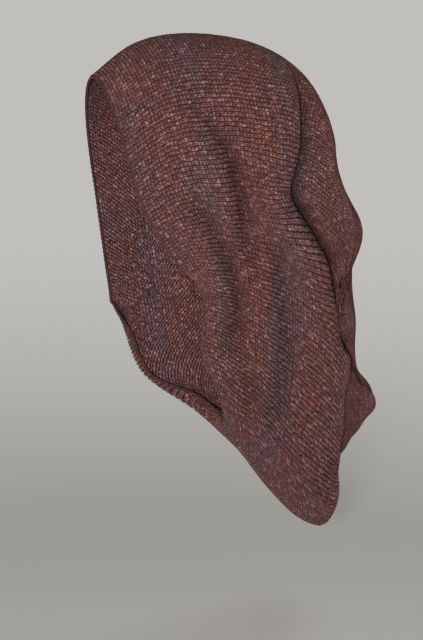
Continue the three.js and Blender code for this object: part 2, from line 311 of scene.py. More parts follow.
def unit(a):
    return a / np.maximum(np.linalg.norm(a, axis=-1, keepdims=True), 1e-9)


def through(values, place):
    """A smooth curve through evenly spaced values, at places from 0 to 1."""
    values = np.asarray(values, float)
    last = len(values) - 1
    ends = np.concatenate([[2 * values[0] - values[1]], values, [2 * values[-1] - values[-2]]])
    i = np.clip(np.floor(place * last).astype(int), 0, last - 1)
    t = place * last - i
    a, b, c, d = (ends[i + k] for k in range(4))
    return 0.5 * (
        2 * b + (c - a) * t + (2 * a - 5 * b + 4 * c - d) * t**2 + (3 * b - a - 3 * c + d) * t**3
    )


def section_at(run):
    return {
        name: through([row[k] for row in SECTIONS], run)
        for k, name in enumerate(SECTION_COLUMNS)
    }


def loop_outline(s, share):
    """How far out to the side and how far down its leaning plane a loop is, at a share of half a turn."""
    span = np.hypot(s["lowY"] - s["topY"], s["lowZ"] - s["topZ"])
    between = np.maximum(span - s["topR"] - s["lowR"], 0.001)
    lean = np.arcsin(np.clip((s["topR"] - s["lowR"]) / between, -STEEPEST_LEAN, STEEPEST_LEAN))
    top_arc = s["topR"] * (math.pi / 2 + lean)
    flank = between * np.cos(lean)
    low_arc = s["lowR"] * (math.pi / 2 - lean)
    place = share * (top_arc + flank + low_arc)
    angle = place / s["topR"]
    t = place - top_arc
    low_angle = math.pi / 2 + lean + (t - flank) / s["lowR"]
    on_top, on_flank = place <= top_arc, place <= top_arc + flank
    out = np.select(
        [on_top, on_flank],
        [s["topR"] * np.sin(angle), s["topR"] * np.cos(lean) - t * np.sin(lean)],
        s["lowR"] * np.sin(low_angle),
    )
    down = np.select(
        [on_top, on_flank],
        [s["topR"] * (1 - np.cos(angle)), s["topR"] * (1 + np.sin(lean)) + t * np.cos(lean)],
        s["topR"] + between - s["lowR"] * np.cos(low_angle),
    )
    return out, down


def plain_point(turn, run):
    """The plain form of the tube, without folds."""
    turn = (turn + 1.0) % 2.0 - 1.0
    near = turn >= 0
    even = np.abs(turn)
    fall = STITCH_FALL * np.sin(math.pi * even**3) ** 2 * (1 - smooth_step(0, FALL_END, run))
    share = even - fall
    s = section_at(run)
    span = np.hypot(s["lowY"] - s["topY"], s["lowZ"] - s["topZ"])
    down_y = (s["lowY"] - s["topY"]) / span
    down_z = (s["lowZ"] - s["topZ"]) / span
    out, down = loop_outline(s, share)
    notch_width = np.where(share < NOTCH_TURN, NOTCH_ABOVE, NOTCH_BELOW)
    slump = np.sin(math.pi * share**2) ** 2
    slack = ROLL_SLACK * smooth_step(ROLL_FROM, ROLL_FULL, share) * (1 - smooth_step(0, SLACK_END, run))
    forward = s["bow"] * np.sin(math.pi * share) ** 2 + slack * (1 - smooth_step(SLACK_FADES, 1, share))
    forward = forward + np.where(
        near, -s["notch"] * bell((share - NOTCH_TURN) / notch_width), s["farBow"] * slump
    )
    down = down + np.where(near, 0.0, s["farDrop"] * slump)
    return np.stack(
        [
            np.where(near, out, -out),
            s["topY"] + down * down_y + forward * down_z,
            s["topZ"] + down * down_z - forward * down_y,
        ],
        -1,
    )


def directions(form, turn, run):
    """Directions on a form: out of the cloth, and along the stitches towards the drawn end."""
    step = 0.004
    along = unit(form(turn, np.minimum(run + step, 1)) - form(turn, np.maximum(run - step, 0)))
    around = unit(form(turn + step, run) - form(turn - step, run))
    return unit(np.cross(around, along)), along


def fold_path(rows):
    place = np.linspace(0, 1, FOLD_STEPS + 1)
    path = {name: through([row[k] for row in rows], place) for k, name in enumerate(FOLD_COLUMNS)}
    path["point"] = plain_point(path["turn"], path["run"])
    path["depth"] = np.maximum(path["depth"], 0)
    path["lip"] = np.maximum(path["lip"], 0)
    path["side"] = math.copysign(1, rows[1][0])
    return path


FOLD_PATHS = [fold_path(rows) for rows in FOLDS.values()]


def nearest_on_fold(path, point, out):
    """How far behind a fold the points lie, the direction behind it, and its sizes at the nearest place."""
    best = np.full(point.shape[:-1], np.inf)
    index = np.zeros(best.shape, int)
    share = np.zeros(best.shape)
    steps = np.diff(path["point"], axis=0)
    for k, step in enumerate(steps):
        t = np.clip(dot(point - path["point"][k], step) / (step @ step), 0, 1)
        offset = point - path["point"][k] - t[..., None] * step
        distance = dot(offset, offset)
        closer = distance < best
        best = np.where(closer, distance, best)
        index = np.where(closer, k, index)
        share = np.where(closer, t, share)
    behind = unit(np.cross(out, steps[index])) * path["side"]
    offset = point - path["point"][index] - share[..., None] * steps[index]
    place = np.sqrt(best) * np.where(dot(offset, behind) < 0, -1, 1)
    size = {
        name: path[name][index] * (1 - share) + path[name][index + 1] * share
        for name in ("depth", "width", "lip")
    }
    return place, behind, size


def folded_point(turn, run):
    point = plain_point(turn, run)
    out, _ = directions(plain_point, turn, run)
    moved = point.copy()
    for path in FOLD_PATHS:
        place, behind, size = nearest_on_fold(path, point, out)
        s = place / size["width"]
        height = -size["depth"] * bell(s)
        rise = RISE_SHARE * size["depth"] * bell((s + RISE_PLACE) / RISE_WIDTH)
        height += rise * np.where(size["lip"] > 0, 1, LIPLESS_SHARE)
        moved += out * height[..., None]
        moved += behind * (size["lip"] * bell((s + LIP_PLACE) / LIP_WIDTH))[..., None]
    for row in SWELLS.values():
        swell = dict(zip(SWELL_COLUMNS, row))
        centre = plain_point(np.array(swell["turn"]), np.array(swell["run"]))
        distance = np.linalg.norm(point - centre, axis=-1) / swell["width"]
        moved += out * (swell["height"] * np.exp(-(distance ** swell["roundness"])))[..., None]
    return moved


def tuck_shade_share(turn, run):
    """The painted shade of the tucks: how far down in a tuck the cloth lies, from 0 on the open cloth to 1 at
    the bottom of a deep one.
    """
    point = plain_point(turn, run)
    out, _ = directions(plain_point, turn, run)
    deepest = np.zeros(point.shape[:-1])
    for path in FOLD_PATHS:
        place, _, size = nearest_on_fold(path, point, out)
        dark = size["depth"] / DEEP_TUCK * bell(place / size["width"] / TUCK_SPREAD)
        deepest = np.maximum(deepest, dark)
    return np.clip(deepest, 0, 1)


def roll_under(turn, run, points, length):
    """Below the jaw the mouth curls in towards the neck."""
    share = smooth_step(ROLL_FROM, ROLL_FULL, np.abs((turn + 1.0) % 2.0 - 1.0))
    hinge_run = np.array([np.interp(ROLL_LENGTH, column, run) for column in length])
    hinge = folded_point(turn, hinge_run)
    out, along = directions(folded_point, turn, hinge_run)
    back = ROLL_LENGTH - length
    angle = np.where(back > 0, ROLL_ANGLE * share[:, None] * back / ROLL_LENGTH, 0.0)
    angle = np.maximum(angle, 1e-6)
    rolled = hinge[:, None] + along[:, None] * (-back * np.sin(angle) / angle)[..., None]
    rolled += out[:, None] * (-back * (1 - np.cos(angle)) / angle)[..., None]
    amount = np.where(back > 0, np.minimum(1, 4 * share)[:, None], 0.0)
    return points + (rolled - points) * amount[..., None]


def normals(points):
    along = np.gradient(points, axis=1)
    around = np.gradient(points, axis=0)
    return unit(np.cross(around, along))


def cloth_form():
    """The cloth as a grid, columns round the tube and rows along it: both faces, the length of cloth from the
    mouth, the run along the tube, and the painted shade that the tucks put on it."""
    step = 2.0 / FORM_COLUMNS
    turn = -1.0 + step * np.arange(-FORM_OVERLAP, FORM_COLUMNS + FORM_OVERLAP + 1)
    run = np.linspace(0, 1, FORM_ROWS + 1)
    turns, runs = np.meshgrid(turn, run, indexing="ij")
    points = folded_point(turns, runs)
    hops = np.linalg.norm(np.diff(points, axis=1), axis=-1)
    length = np.concatenate([np.zeros((len(turn), 1)), np.cumsum(hops, axis=1)], axis=1)
    left = length[:, -1:] - length
    points = roll_under(turn, run, points, length)
    out = normals(points)
    dimple = -DIMPLE_DEPTH * bell(left / DIMPLE_REACH)
    height = PLEAT_HEIGHT * (1 - smooth_step(PLEAT_START, PLEAT_REACH, left))
    height = height * smooth_step(0, PLEAT_START, left)
    height = height * (1 - CALM_SHARE * bell((np.abs(turns) - CALM_TURN) / CALM_WIDTH))
    wave = height * np.cos(math.pi * PLEATS * turns)
    outside = points + out * (dimple + wave)[..., None]
    inner_wave = PLEAT_INSIDE * wave - (1 - PLEAT_INSIDE) * height
    inside = points + out * (dimple + inner_wave - WALL)[..., None]
    # How much painted shade the tucks put on each point
    hidden = tuck_shade_share(turns, runs)
    return {"run": runs, "length": length, "outside": outside, "inside": inside, "hidden": hidden}


def closed_end(points):
    """The rows that draw a face of the cloth in to one point at its end."""
    ring = points[:, -1]
    once_round = slice(FORM_OVERLAP, -FORM_OVERLAP - 1)
    centre = ring[once_round].mean(0)
    axis = unit(centre - points[once_round, -END_AXIS_ROWS].mean(0))
    s = np.linspace(0, 1, END_ROWS + 1)[1:]
    rows = ring[:, None] + (centre - ring)[:, None] * s[None, :, None]
    rows = rows - axis * (END_DEPTH * np.sin(s * math.pi / 2))[None, :, None]
    return np.concatenate([points, rows], axis=1)


# Node trees

class Value:
    """A socket of a node tree that Python sums can be written with."""

    def __init__(self, nodes, socket):
        self.nodes = nodes
        self.socket = socket

    def math(self, operation, *others):
        return self.nodes.add("ShaderNodeMath", {"operation": operation}, dict(enumerate((self,) + others)))

    def __add__(self, other):
        return self.math("ADD", other)

    __radd__ = __add__

    def __mul__(self, other):
        return self.math("MULTIPLY", other)

    __rmul__ = __mul__

    def __sub__(self, other):
        return self.math("SUBTRACT", other)

    def __rsub__(self, other):
        return (self * -1.0) + other

    def __truediv__(self, other):
        return self.math("DIVIDE", other)

    def __rtruediv__(self, other):
        return self.math("POWER", -1.0) * other

    def __pow__(self, other):
        return self.math("POWER", other)

    def __abs__(self):
        return self.math("ABSOLUTE")

    def above(self, low):
        return self.math("MAXIMUM", low)

    def below(self, high):
        return self.math("MINIMUM", high)

    def over(self, other):
        return self.math("GREATER_THAN", other)

    def floor(self):
        return self.math("FLOOR")

    def sine(self):
        return self.math("SINE")

    def cosine(self):
        return self.math("COSINE")


class Nodes:
    """Adds nodes to a tree: settings are set first, then the values or links of the sockets."""

    def __init__(self, tree):
        self.tree = tree
        tree.nodes.clear()

    def add(self, kind, settings=None, values=None, output=0):
        node = self.tree.nodes.new(kind)
        for name, value in (settings or {}).items():
            if name == "stops":
                self.set_stops(node.color_ramp, value)
            else:
                setattr(node, name, value)
        for key, value in (values or {}).items():
            if isinstance(value, Value):
                self.tree.links.new(value.socket, node.inputs[key])
            else:
                node.inputs[key].default_value = value
        return Value(self, node.outputs[output]) if len(node.outputs) else node

    @staticmethod
    def set_stops(ramp, stops):
        ramp.interpolation = "EASE"
        while len(ramp.elements) < len(stops):
            ramp.elements.new(1.0)
        for element, (place, shade) in zip(ramp.elements, stops):
            element.position = place
            element.color = (shade, shade, shade, 1.0)

    def also(self, value, output):
        """Another output of the node that a value comes from."""
        return Value(self, value.socket.node.outputs[output])

    def vector(self, x, y, z=0.0):
        return self.add("ShaderNodeCombineXYZ", values={0: x, 1: y, 2: z})

    def parts(self, vector):
        x = self.add("ShaderNodeSeparateXYZ", values={0: vector})
        return x, self.also(x, 1), self.also(x, 2)

    def mix_colour(self, factor, a, b):
        return self.add(
            "ShaderNodeMix",
            {"data_type": "RGBA", "clamp_factor": True},
            {0: factor, 6: a, 7: b},
            output=2,
        )

    def scaled(self, vector, amount):
        return self.add("ShaderNodeVectorMath", {"operation": "SCALE"}, {0: vector, "Scale": amount})

    def named(self, kind, name):
        """A value that the geometry carries under this name."""
        return self.add("GeometryNodeInputNamedAttribute", {"data_type": kind}, {"Name": name})

    def stored(self, cloth, kind, name, value):
        """The geometry with a value of each of its points kept under this name."""
        return self.add(
            "GeometryNodeStoreNamedAttribute",
            {"data_type": kind, "domain": "POINT"},
            {"Geometry": cloth, "Name": name, "Value": value},
        )

    def noise(self, vector, scale, detail=2.0, roughness=0.5, output=0):
        return self.add(
            "ShaderNodeTexNoise",
            values={"Vector": vector, "Scale": scale, "Detail": detail, "Roughness": roughness},
            output=output,
        )


def new_tree(name, sockets):
    """A geometry tree with named inputs, and its Value for each."""
    tree = bpy.data.node_groups.new(name, "GeometryNodeTree")
    tree.interface.new_socket("Geometry", in_out="OUTPUT", socket_type="NodeSocketGeometry")
    tree.interface.new_socket("Geometry", in_out="INPUT", socket_type="NodeSocketGeometry")
    for socket, kind in sockets.items():
        tree.interface.new_socket(socket, in_out="INPUT", socket_type="NodeSocket" + kind)
    nodes = Nodes(tree)
    first = nodes.add("NodeGroupInput")
    inputs = {s.name: Value(nodes, s) for s in first.socket.node.outputs if s.name}
    return tree, nodes, inputs


def knitting_tree():
    """Knits stitches over a smooth form: a grid of stitch coordinates that is laid on the form and raised."""
    tree, nodes, given = new_tree(
        "knitting",
        {
            "Form": "Object",
            "Wales round": "Float",
            "Courses on form": "Float",
            "First wale": "Float",
            "Last wale": "Float",
            "First course": "Float",
            "Last course": "Float",
            "Columns": "Int",
            "Rows": "Int",
            "Slant": "Float",
            "Wale depth": "Float",
            "Course depth": "Float",
            "Purl depth": "Float",
            "Unevenness": "Float",
            "Seed": "Float",
            "Material": "Material",
        },
    )
    across = given["Last wale"] - given["First wale"]
    long = given["Last course"] - given["First course"]
    grid = nodes.add(
        "GeometryNodeMeshGrid",
        values={
            "Size X": 1.0,
            "Size Y": 1.0,
            "Vertices X": abs(across) * given["Columns"] + 1.0,
            "Vertices Y": long * given["Rows"] + 1.0,
        },
    )
    x, y, _ = nodes.parts(nodes.add("GeometryNodeInputPosition"))
    wale = given["First wale"] + across * (x + 0.5)
    row = given["First course"] + long * (y + 0.5)
    aside = 1.0 - 2.0 * wale.math("PINGPONG", 0.5)
    course = row + given["Slant"] * aside

    # The stitches are a little uneven, and just as much on both sides of where the cloth meets itself.
    angle = wale * (2 * math.pi) / given["Wales round"]
    ring = given["Wales round"] / (2 * math.pi)
    place = nodes.vector(angle.sine() * ring, angle.cosine() * ring, row + given["Seed"])
    jitter_x, jitter_y, jitter_z = nodes.parts(nodes.noise(place, JITTER_SCALE, 2.0, 0.6, output=1))
    unevenness = given["Unevenness"]
    wale_laid = wale + (jitter_x - 0.5) * unevenness
    course_laid = course + (jitter_y - 0.5) * unevenness

    form = nodes.add("GeometryNodeObjectInfo", values={"Object": given["Form"]}, output=4)

    def sampled(kind, name, at):
        if name == "position":
            source = nodes.add("GeometryNodeInputPosition")
        else:
            source = nodes.named(kind, name)
        stitch_map = nodes.named("FLOAT_VECTOR", "stitch_map")
        return nodes.add(
            "GeometryNodeSampleUVSurface",
            {"data_type": kind},
            {"Mesh": form, "Value": source, "UV Map": stitch_map, "Sample UV": at},
        )

    u = wale_laid / (given["Wales round"] * MAP_MARGIN) + 0.5
    start = nodes.vector(u, START_COURSE / given["Courses on form"])
    end = sampled("FLOAT", "courses_long", start)
    laid = course_laid.above(START_COURSE).below(end - START_COURSE)
    at = nodes.vector(u, laid / given["Courses on form"])
    position = sampled("FLOAT_VECTOR", "position", at)
    out = sampled("FLOAT_VECTOR", "out", at)
    run = sampled("FLOAT", "run", at)
    # The painted shade of the tucks goes on to the stitches.
    hidden = sampled("FLOAT", "hidden", at)
    fullness = sampled("FLOAT", "fullness", at)

    strand = abs((row * math.pi).sine())
    legs = (math.pi * (LEG_FOOT + (1 - LEG_FOOT) * aside)).sine()
    knit = given["Wale depth"] * legs + given["Course depth"] * (strand - 0.5) * legs
    bumps = (wale * (2 * math.pi)).cosine() * (row * (2 * math.pi)).cosine()
    purl = given["Purl depth"] * (0.5 + 0.5 * bumps)
    deepest = given["Wale depth"] + 0.5 * given["Course depth"] + given["Purl depth"]
    relief = (knit + purl) / deepest
    height = ((knit + purl) - STITCH_SINK * deepest) * fullness
    height = height + (jitter_z - 0.5) * unevenness * JITTER_HEIGHT * deepest

    cloth = grid
    kept = {"wale": wale, "course": course, "run": run, "relief": relief, "hidden": hidden}
    for name, value in kept.items():
        cloth = nodes.stored(cloth, "FLOAT", name, value)
    # Where the cloth goes is found on the grid, so the stitches past its end are taken away last.
    spare = (course - 1.0 / given["Rows"]).over(end)
    cloth = nodes.stored(cloth, "BOOLEAN", "spare", spare)
    lift = nodes.scaled(out, height)
    raised = nodes.add("ShaderNodeVectorMath", {"operation": "ADD"}, {0: position, 1: lift})
    cloth = nodes.add("GeometryNodeSetPosition", values={"Geometry": cloth, "Position": raised})
    past_end = nodes.named("BOOLEAN", "spare")
    spent = {"Geometry": cloth, "Selection": past_end}
    cloth = nodes.add("GeometryNodeDeleteGeometry", {"domain": "POINT"}, spent)
    cloth = nodes.add("GeometryNodeSetShadeSmooth", values={"Geometry": cloth, "Shade Smooth": True})
    cloth = nodes.add("GeometryNodeRealizeInstances", values={"Geometry": cloth})
    cloth = nodes.add("GeometryNodeSetMaterial", values={"Geometry": cloth, "Material": given["Material"]})
    nodes.add("NodeGroupOutput", values={0: cloth})
    return tree


def chain_tree():
    """Sets one link at each point of the mouth, turned to the directions kept there."""
    sockets = {"Places": "Object", "Link": "Object", "Size": "Float", "Material": "Material"}
    tree, nodes, given = new_tree("edge_chain", sockets)
    places = nodes.add("GeometryNodeObjectInfo", values={"Object": given["Places"]}, output=4)
    one_link = {"Object": given["Link"], "As Instance": True}
    link = nodes.add("GeometryNodeObjectInfo", values=one_link, output=4)
    facing = nodes.named("FLOAT_VECTOR", "facing")
    along = nodes.named("FLOAT_VECTOR", "along")
    turned = nodes.add(
        "FunctionNodeAxesToRotation",
        {"primary_axis": "Z", "secondary_axis": "X"},
        {"Primary Axis": facing, "Secondary Axis": along},
    )
    size = nodes.vector(given["Size"], given["Size"], given["Size"])
    links = nodes.add(
        "GeometryNodeInstanceOnPoints",
        values={"Points": places, "Instance": link, "Rotation": turned, "Scale": size},
    )
    links = nodes.add("GeometryNodeRealizeInstances", values={"Geometry": links})
    links = nodes.add("GeometryNodeSetShadeSmooth", values={"Geometry": links, "Shade Smooth": True})
    links = nodes.add("GeometryNodeSetMaterial", values={"Geometry": links, "Material": given["Material"]})
    nodes.add("NodeGroupOutput", values={0: links})
    return tree


# Making and finishing pieces

def new_object(name, mesh=None):
    piece = bpy.data.objects.new(name, mesh or bpy.data.meshes.new(name))
    bpy.context.scene.collection.objects.link(piece)
    return piece


def grown(name, tree, inputs):
    """A plain mesh object made by a geometry tree with these inputs."""
    piece = new_object(name)
    modifier = piece.modifiers.new("Making", "NODES")
    modifier.node_group = tree
    for item in tree.interface.items_tree:
        if item.item_type == "SOCKET" and item.in_out == "INPUT" and item.name in inputs:
            modifier[item.identifier] = inputs[item.name]
    graph = bpy.context.evaluated_depsgraph_get()
    made_piece = piece.evaluated_get(graph)
    mesh = bpy.data.meshes.new_from_object(made_piece, preserve_all_data_layers=True, depsgraph=graph)
    piece.modifiers.clear()
    piece.data = mesh
    mesh.name = name
    if not len(mesh.polygons):
        raise RuntimeError(f"{name} came out empty")
    return piece


def drop(*scratch):
    for thing in scratch:
        bpy.data.objects.remove(thing, do_unlink=True)


def finish_piece(piece, node):
    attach(piece, "root")
    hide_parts(node)
    return piece


def set_values(mesh, name, kind, values):
    attribute = mesh.attributes.new(name, kind, "POINT")
    key = "vector" if kind == "FLOAT_VECTOR" else "value"
    attribute.data.foreach_set(key, np.ascontiguousarray(values, np.float32).ravel())


def form_object(name, points, out, run, hidden, length, wales, course_height):
    """One face of the cloth as a smooth mesh, with its stitch map and what the knitting reads from it."""
    columns, rows = points.shape[:2]
    index = np.arange(columns * rows).reshape(columns, rows)
    quads = np.stack([index[:-1, :-1], index[1:, :-1], index[1:, 1:], index[:-1, 1:]], -1).reshape(-1, 4)
    mesh = bpy.data.meshes.new(name)
    mesh.from_pydata(points.reshape(-1, 3) * MM, [], quads.tolist())
    form = new_object(name, mesh)
    step = 2.0 / FORM_COLUMNS
    turn = (-1.0 + step * (np.arange(columns) - FORM_OVERLAP))[:, None]
    climb = WALE_CLIMB * np.sin(math.pi * turn) * np.abs(turn)
    wale_turn = turn + climb * smooth_step(CLIMB_FROM, CLIMB_FULL, run)
    u = wale_turn * 0.5 / MAP_MARGIN + 0.5
    v = length / course_height / FORM_COURSES
    stitch_map = mesh.uv_layers.new(name="stitch_map")
    corners = np.stack([u, v], -1).reshape(-1, 2)[quads.ravel()]
    stitch_map.data.foreach_set("uv", corners.astype(np.float32).ravel())
    width = np.linalg.norm(np.gradient(points, axis=0), axis=-1)
    spacing = 2.0 / wales * width / np.gradient(wale_turn, axis=0)
    # A wale is taken no longer than those beside it, so that none is laid past the end of the form.
    wale_long = np.interp(turn[:, 0], wale_turn[:, -1], length[:, -1])
    beside = np.minimum(np.roll(wale_long, 1), np.roll(wale_long, -1))
    wale_long = np.minimum(wale_long, beside)[:, None]
    fullness = np.clip(spacing / FULL_WALE, 0.1, 1.0)
    set_values(mesh, "out", "FLOAT_VECTOR", out)
    set_values(mesh, "run", "FLOAT", run)
    # The painted shade of the tucks, by which the knit material darkens the cloth
    set_values(mesh, "hidden", "FLOAT", hidden)
    set_values(mesh, "fullness", "FLOAT", fullness)
    set_values(mesh, "courses_long", "FLOAT", np.repeat(wale_long / course_height, rows, axis=1))
    return form


def face_of_cloth(cloth, side):
    """The points, directions, runs, painted tuck shade and lengths of one face, with its end drawn in."""
    points = closed_end(cloth[side])
    run, hidden = (np.pad(cloth[name], ((0, 0), (0, END_ROWS)), mode="edge") for name in ("run", "hidden"))
    hops = np.linalg.norm(np.diff(points[:, -END_ROWS - 1:], axis=1), axis=-1)
    length = np.concatenate([cloth["length"], cloth["length"][:, -1:] + np.cumsum(hops, axis=1)], axis=1)
    out = normals(points)
    out[:, -2:] = out[:, -3:-2]
    return points, out, run, hidden, length


# Finishes

def attribute(nodes, name):
    return nodes.add("ShaderNodeAttribute", {"attribute_name": name}, output=2)


def wool_shader(material, nodes, colour, roughness, height, fuzz):
    """The shader that every wool here shares: rough and soft, with the fine grain of its fibres."""
    bump = nodes.add("ShaderNodeBump", values={"Strength": 0.6, "Distance": 0.0004, "Height": height})
    surface = nodes.add(
        "ShaderNodeBsdfPrincipled",
        values={
            "Base Color": colour,
            "Roughness": roughness,
            "Normal": bump,
            "Specular IOR Level": 0.18,
            "Sheen Weight": fuzz,
            "Sheen Roughness": 0.55,
            "Sheen Tint": (0.86, 0.72, 0.66, 1.0),
        },
    )
    nodes.add("ShaderNodeOutputMaterial", values={"Surface": surface})
    return material


def heather_knit(colours):
    """Variegated wool in stitches: bands of rust and plum, flecks of other fibre, and painted shade between
    the wales, between the strands and in the tucks.
    """
    material = bpy.data.materials.new("heather_knit")
    material.use_nodes = True
    nodes = Nodes(material.node_tree)
    wale, course, run, relief, hidden = (
        attribute(nodes, name) for name in ("wale", "course", "run", "relief", "hidden")
    )
    body = nodes.add("ShaderNodeTexCoord", output=3)

    band = nodes.add("ShaderNodeValToRGB", {"stops": BANDS}, {"Fac": run})
    streak = nodes.noise(nodes.vector(wale * 0.05, course * 0.9), 1.0, 2.0, 0.7)
    pool = nodes.noise(body, POOL_SCALE, 3.0, 0.6)
    plum = band + (streak - 0.5) * STREAKS + (pool - 0.5) * POOLS
    colour = nodes.mix_colour(plum, (*colours.rust, 1.0), (*colours.plum, 1.0))

    grey_fleck = nodes.noise(nodes.vector(wale * 0.8, course * 1.3), 1.0, 2.0, 0.7)
    colour = nodes.mix_colour((grey_fleck - GREY_FROM) * FLECKS, colour, (*colours.grey_fibre, 1.0))
    warm_fleck = nodes.noise(nodes.vector(wale * 0.6 + 40.0, course * 1.3), 1.0, 2.0, 0.7)
    colour = nodes.mix_colour((warm_fleck - WARM_FROM) * FLECKS, colour, (*colours.warm_fibre, 1.0))

    # Each leg of a stitch is yarn of its own shade. It is painted bright on its back, and painted in shade at
    # its sides and where it goes under the next.
    leg = abs((wale * (2 * math.pi)).sine()) ** 0.5
    strand = abs((course * math.pi).sine()) ** 0.6
    stitch = nodes.vector((wale * 2.0).floor(), course.floor())
    own = nodes.add("ShaderNodeTexWhiteNoise", {"noise_dimensions": "2D"}, {"Vector": stitch})
    tone = nodes.noise(nodes.vector(wale * 1.7, course * 1.4), 1.0, 3.0, 0.8)
    fibre = nodes.noise(body, FIBRE_SCALE, 2.0, 0.6)
    shade = DULL_LEG + OWN_SHADE * own + TONE_SHADE * (tone - 0.25).above(0.0)
    bright = ((own - BRIGHT_FROM) * 7.0).above(0.0) * BRIGHT_LEG
    # Painted shade: the colour is darker down in the valleys between the wales, at the sides of each leg and
    # between the strands.
    depth = VALLEY_LIGHT + (1 - VALLEY_LIGHT) * relief ** 1.3
    painted_gap_shade = GAP_LIGHT + (1 - GAP_LIGHT) * leg * strand
    light = depth * painted_gap_shade * (shade + bright) * (0.7 + 0.6 * fibre) * WOOL_LIGHT
    # The tucks are painted in shade.
    colour = nodes.scaled(colour, light * (1.0 - TUCK_PAINTED_SHADE * hidden))
    height = leg * strand + fibre * 0.6
    return wool_shader(material, nodes, colour, 0.78 + 0.2 * fibre, height, colours.fuzz)


def plain_wool(name, colour, colours):
    """One shade of wool, mottled by its fibres."""
    material = bpy.data.materials.new(name)
    material.use_nodes = True
    nodes = Nodes(material.node_tree)
    body = nodes.add("ShaderNodeTexCoord", output=3)
    mottle = nodes.noise(body, 260.0, 2.0, 0.6)
    fibre = nodes.noise(body, 2200.0, 2.0, 0.6)
    shade = nodes.mix_colour((mottle - 0.5) * 2.5, (*colour, 1.0), (*colours.rust, 1.0))
    shade = nodes.scaled(shade, (0.6 + 0.8 * mottle) * (0.8 + 0.4 * fibre))
    return wool_shader(material, nodes, shade, 0.82 + 0.16 * fibre, fibre, colours.fuzz)


def fading_floor(colour):
    """A plain matt floor that thins out into the backdrop away from the hat."""
    material = bpy.data.materials.new("studio_floor")
    material.use_nodes = True
    nodes = Nodes(material.node_tree)
    x, y, _ = nodes.parts(nodes.add("ShaderNodeTexCoord", output=3))
    distance = (x * x + y * y) ** 0.5
    near = ((FLOOR_END - distance) / (FLOOR_END - FLOOR_START)).above(0.0).below(1.0)
    mottle = nodes.noise(nodes.vector(x, y), 3.0)
    shade = nodes.mix_colour(mottle * 0.2, (*colour, 1.0), (*[c * 0.93 for c in colour], 1.0))
    matt = {"Base Color": shade, "Roughness": 0.9, "Alpha": near * near}
    surface = nodes.add("ShaderNodeBsdfPrincipled", values=matt)
    nodes.add("ShaderNodeOutputMaterial", values={"Surface": surface})
    return material


# What a user would change

def length_setting(name, description, default):
    return FloatProperty(name=name, description=description, default=default, unit="LENGTH")


def power_setting(name, description, default):
    return FloatProperty(name=name, description=description, default=default, unit="POWER")


def colour_setting(name, description, default):
    return FloatVectorProperty(name=name, description=description, default=default, subtype="COLOR")


class HatSizes(bpy.types.PropertyGroup):
    wales: IntProperty(name="Wales", description="Columns of stitches, a multiple of six", default=216)
    course_height: length_setting("Course height", "Length of cloth that one row takes", 0.0028)
    wale_depth: length_setting("Wale depth", "How far a column stands over the valley beside it", 0.0014)
    course_depth: length_setting("Course depth", "How far a stitch stands over the next", 0.0018)
    purl_depth: length_setting("Purl depth", "Height of the bumps on the inside", 0.0011)
    slant: FloatProperty(name="Slant", description="Rows that the legs of a stitch climb", default=0.9)
    unevenness: FloatProperty(name="Unevenness", description="Stitches that one strays by", default=0.8)


class HatColours(bpy.types.PropertyGroup):
    rust: colour_setting("Rust", "The redder bands", (0.112, 0.039, 0.036))
    plum: colour_setting("Plum", "The greyer bands", (0.086, 0.046, 0.053))
    grey_fibre: colour_setting("Grey fibre", "Cool flecks in the wool", (0.16, 0.115, 0.12))
    warm_fibre: colour_setting("Warm fibre", "Warm flecks in the wool", (0.2, 0.065, 0.04))
    edge: colour_setting("Edge", "The bound edge", (0.06, 0.028, 0.027))
    fuzz: FloatProperty(name="Fuzz", description="Soft light on the fibres", default=0.05, min=0.0, max=1.0)


class StageSettings(bpy.types.PropertyGroup):
    floor_height: length_setting("Floor height", "Height of the floor", -0.45)
    floor: colour_setting("Floor", "Colour of the floor", (0.78, 0.76, 0.72))
    backdrop: colour_setting("Backdrop", "Colour all round", (0.90, 0.86, 0.76))
    ceiling: colour_setting("Ceiling", "Colour overhead", (0.14, 0.137, 0.13))
    key_power: power_setting("Key light", "Power of the main light", 22.0)
    fill_power: power_setting("Fill light", "Power of the side light", 0.6)
    back_power: power_setting("Back light", "Power of the light behind", 10.0)


# Operators

made = {}


def knit_inputs(sizes, form, first, last, from_course, to_course, **more):
    inputs = {
        "Form": form,
        "Wales round": float(sizes.wales),
        "Courses on form": FORM_COURSES,
        "First wale": float(first),
        "Last wale": float(last),
        "First course": float(from_course),
        "Last course": float(to_course),
        "Columns": 4,
        "Rows": 3,
        "Slant": sizes.slant,
        "Wale depth": sizes.wale_depth,
        "Course depth": sizes.course_depth,
        "Purl depth": 0.0,
        "Unevenness": sizes.unevenness,
        "Seed": 7.0,
        "Material": made["knit"],
    }
    inputs.update(more)
    return inputs


class HAT_OT_form(bpy.types.Operator):
    """Work out the smooth form of the cloth and mix its finishes"""

    bl_idname = "hat.form"
    bl_label = "Form of the cloth"

    def execute(self, context):
        sizes, colours = context.scene.hat_sizes, context.scene.hat_colours
        made["cloth"] = cloth_form()
        course_height = sizes.course_height / MM
        for side in ("outside", "inside"):
            points, out, run, hidden, length = face_of_cloth(made["cloth"], side)
            if side == "inside":
                out = -out
                # The inside gets no painted tuck shade.
                hidden = np.zeros_like(hidden)
            made[side] = form_object(
                side + "_form", points, out, run, hidden, length, sizes.wales, course_height
            )
            made[side + "_courses"] = length[:, -1].max() / course_height
        made["knit"] = heather_knit(colours)
        made["edge"] = plain_wool("edge_wool", colours.edge, colours)
        made["tree"] = knitting_tree()
        return {"FINISHED"}


